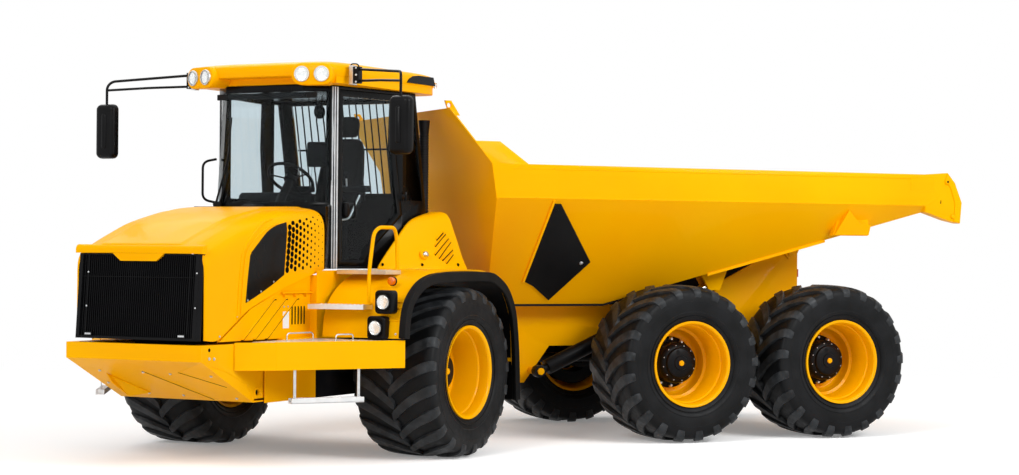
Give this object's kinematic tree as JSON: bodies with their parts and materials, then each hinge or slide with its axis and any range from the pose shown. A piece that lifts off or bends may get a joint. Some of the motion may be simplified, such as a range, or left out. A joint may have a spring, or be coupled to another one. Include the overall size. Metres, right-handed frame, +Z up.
{
  "type": "articulated dump truck",
  "caption": "Articulated dump truck with a steering hinge, low cab unit, driven wheels and a tipping body, parked with its front unit turned to the left.",
  "frame": {"origin": "bottom centre of the bounding box, on the floor", "axes": "+Z up; the rear unit lies along Y with its tail towards +Y; +X is the left of the rear unit; the front unit is turned left about the steering hinge"},
  "size_m": [4.7058, 9.2738, 3.445],
  "materials": {
    "yellow_paint": "gloss paint",
    "axle_paint": "satin chassis paint",
    "black_rubber": "matt moulded rubber",
    "tyre_rubber": "matt tyre rubber",
    "black_plastic": "grained moulding",
    "black_steel": "heat-proof black paint",
    "cast_iron": "as cast, painted",
    "clear_glass": "toughened glass",
    "lamp_lens": "clear lens",
    "seat_cover": "woven seat cloth",
    "cylinder_steel": "gloss paint",
    "chrome_rod": "ground chrome"
  },
  "bodies": {
    "rear_unit": {"rear_frame": "yellow_paint", "rear_axles": "axle_paint", "bogie_beams": "axle_paint", "tail_lamps": "lamp_lens"},
    "hitch": {"hitch_link": "axle_paint"},
    "front_unit": {"front_frame": "yellow_paint", "bumper": "yellow_paint", "engine_block": "cast_iron", "front_axle": "axle_paint", "front_fenders": "yellow_paint", "fender_flares": "black_rubber", "side_steps": "yellow_paint", "cab_shell": "yellow_paint", "cab_roof": "yellow_paint", "cab_glass": "clear_glass", "seat": "seat_cover", "steering_console": "black_plastic", "grab_rails": "yellow_paint", "mirrors": "black_plastic", "lamps": "lamp_lens", "exhaust": "black_steel", "headlamp_pods": "black_plastic"},
    "hood": {"hood": "yellow_paint", "grille": "black_plastic"},
    "door": {"door_left": "yellow_paint", "door_glass": "clear_glass"},
    "dump_body": {"dump_body": "yellow_paint", "body_flaps": "black_rubber"},
    "wheel_front_left": {"tyre_front_left": "tyre_rubber", "wheel_front_left": "yellow_paint"},
    "wheel_front_right": {"tyre_front_right": "tyre_rubber", "wheel_front_right": "yellow_paint"},
    "wheel_mid_left": {"tyre_mid_left": "tyre_rubber", "wheel_mid_left": "yellow_paint"},
    "wheel_mid_right": {"tyre_mid_right": "tyre_rubber", "wheel_mid_right": "yellow_paint"},
    "wheel_rear_left": {"tyre_rear_left": "tyre_rubber", "wheel_rear_left": "yellow_paint"},
    "wheel_rear_right": {"tyre_rear_right": "tyre_rubber", "wheel_rear_right": "yellow_paint"},
    "tip_barrel_left": {"tip_barrel_left": "cylinder_steel"},
    "tip_rod_left": {"tip_rod_left": "chrome_rod"},
    "tip_barrel_right": {"tip_barrel_right": "cylinder_steel"},
    "tip_rod_right": {"tip_rod_right": "chrome_rod"},
    "steer_barrel_left": {"steer_barrel_left": "cylinder_steel"},
    "steer_rod_left": {"steer_rod_left": "chrome_rod"},
    "steer_barrel_right": {"steer_barrel_right": "cylinder_steel"},
    "steer_rod_right": {"steer_rod_right": "chrome_rod"}
  },
  "joints": [
    {"name": "oscillation", "type": "hinge", "parent": "rear_unit", "child": "hitch", "pos_m": [-0.70392, -0.94806, 0.9], "axis": [0, 1, 0], "range_deg": [-15, 15]},
    {"name": "steering", "type": "hinge", "parent": "hitch", "child": "front_unit", "pos_m": [-0.70392, -0.94806, 0.9], "axis": [0, 0, 1], "range_deg": [-77.6, 2.4]},
    {"name": "spin_front_left", "type": "hinge", "parent": "front_unit", "child": "wheel_front_left", "pos_m": [1.20087, -1.37442, 0.748], "axis": [-0.7923, -0.6101, 0], "continuous": true},
    {"name": "spin_front_right", "type": "hinge", "parent": "front_unit", "child": "wheel_front_right", "pos_m": [-0.77827, -2.89857, 0.748], "axis": [-0.7923, -0.6101, 0], "continuous": true},
    {"name": "spin_mid_left", "type": "hinge", "parent": "rear_unit", "child": "wheel_mid_left", "pos_m": [0.54508, 1.40694, 0.748], "axis": [-1, 0, 0], "continuous": true},
    {"name": "spin_mid_right", "type": "hinge", "parent": "rear_unit", "child": "wheel_mid_right", "pos_m": [-1.95292, 1.40694, 0.748], "axis": [-1, 0, 0], "continuous": true},
    {"name": "spin_rear_left", "type": "hinge", "parent": "rear_unit", "child": "wheel_rear_left", "pos_m": [0.54508, 3.07694, 0.748], "axis": [-1, 0, 0], "continuous": true},
    {"name": "spin_rear_right", "type": "hinge", "parent": "rear_unit", "child": "wheel_rear_right", "pos_m": [-1.95292, 3.07694, 0.748], "axis": [-1, 0, 0], "continuous": true},
    {"name": "hood_lift", "type": "hinge", "parent": "front_unit", "child": "hood", "pos_m": [1.81354, -4.21705, 1.07], "axis": [0.7923, 0.6101, 0], "range_deg": [0, 60]},
    {"name": "door_swing", "type": "hinge", "parent": "front_unit", "child": "door", "pos_m": [0.61563, -1.40608, 2], "axis": [0, 0, 1], "range_deg": [0, 85]},
    {"name": "bed_tip", "type": "hinge", "parent": "rear_unit", "child": "dump_body", "pos_m": [-0.70392, 3.19194, 1.81], "axis": [-1, 0, 0], "range_deg": [0, 70]},
    {"name": "tip_barrel_swing_left", "type": "hinge", "parent": "rear_unit", "child": "tip_barrel_left", "pos_m": [-0.04192, 0.25194, 0.65], "axis": [1, 0, 0], "range_deg": [0, 18.25]},
    {"name": "tip_rod_slide_left", "type": "slide", "parent": "tip_barrel_left", "child": "tip_rod_left", "axis": [0, 0.9146, 0.4044], "range_m": [0, 0.9816]},
    {"name": "tip_barrel_swing_right", "type": "hinge", "parent": "rear_unit", "child": "tip_barrel_right", "pos_m": [-1.36592, 0.25194, 0.65], "axis": [1, 0, 0], "range_deg": [0, 18.25]},
    {"name": "tip_rod_slide_right", "type": "slide", "parent": "tip_barrel_right", "child": "tip_rod_right", "axis": [0, 0.9146, 0.4044], "range_m": [0, 0.9816]},
    {"name": "steer_barrel_left_swing", "type": "hinge", "parent": "front_unit", "child": "steer_barrel_left", "pos_m": [0.11341, -1.51769, 0.9], "axis": [0, 0, 1], "range_deg": [-0.73, 7.79]},
    {"name": "steer_rod_left_slide", "type": "slide", "parent": "steer_barrel_left", "child": "steer_rod_left", "axis": [-0.564, 0.8258, 0], "range_m": [-0.0169, 0.4532]},
    {"name": "steer_barrel_right_swing", "type": "hinge", "parent": "front_unit", "child": "steer_barrel_right", "pos_m": [-0.36197, -1.88378, 0.9], "axis": [0, 0, 1], "range_deg": [-0.7, 6.86]},
    {"name": "steer_rod_right_slide", "type": "slide", "parent": "steer_barrel_right", "child": "steer_rod_right", "axis": [-0.561, 0.8278, 0], "range_m": [-0.458, 0.0171]}
  ],
  "couplings": [
    {"joint": "tip_barrel_swing_left", "follows": "bed_tip", "ratio": 0.25364},
    {"joint": "tip_rod_slide_left", "follows": "bed_tip", "m_per_rad": 0.79936},
    {"joint": "tip_barrel_swing_right", "follows": "bed_tip", "ratio": 0.25364},
    {"joint": "tip_rod_slide_right", "follows": "bed_tip", "m_per_rad": 0.79936},
    {"joint": "steer_barrel_left_swing", "follows": "steering", "ratio": -0.09398},
    {"joint": "steer_rod_left_slide", "follows": "steering", "m_per_rad": -0.33242},
    {"joint": "steer_barrel_right_swing", "follows": "steering", "ratio": -0.08191},
    {"joint": "steer_rod_right_slide", "follows": "steering", "m_per_rad": 0.33593}
  ]
}
